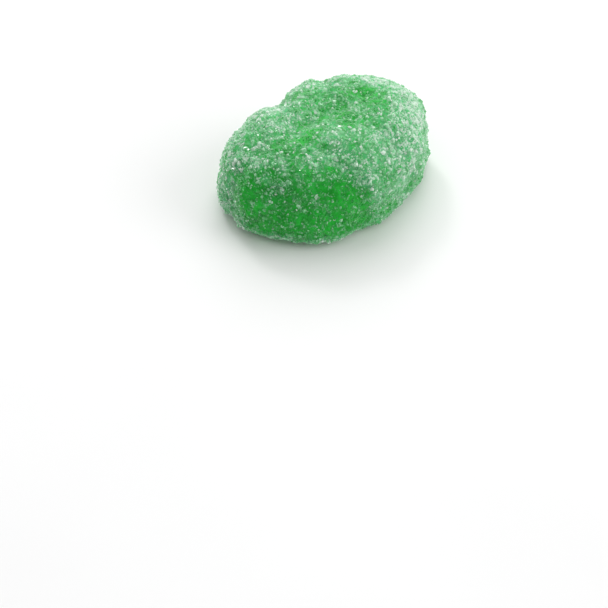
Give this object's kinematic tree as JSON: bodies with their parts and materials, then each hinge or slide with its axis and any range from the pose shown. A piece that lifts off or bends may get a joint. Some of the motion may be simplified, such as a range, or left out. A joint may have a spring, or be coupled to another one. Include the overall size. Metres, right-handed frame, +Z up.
{
  "type": "spearmint leaf candy",
  "caption": "Plump leaf-shaped jelly candy with a midrib and side veins, coated in coarse sugar, lying on its flat face.",
  "frame": {"origin": "middle of the flat underside, at the centre of the candy's bounding box in plan", "axes": "+X from the stem end towards the leaf's tip, +Y across the leaf, +Z up through the domed crown"},
  "size_m": [0.0344, 0.0253, 0.0152],
  "materials": {
    "sugared_jelly": "translucent green jelly",
    "sugar_crystals": "white to clear sugar crystals, tinted by the jelly under them"
  },
  "bodies": {
    "root": {"leaf_candy": "sugared_jelly"}
  },
  "joints": []
}
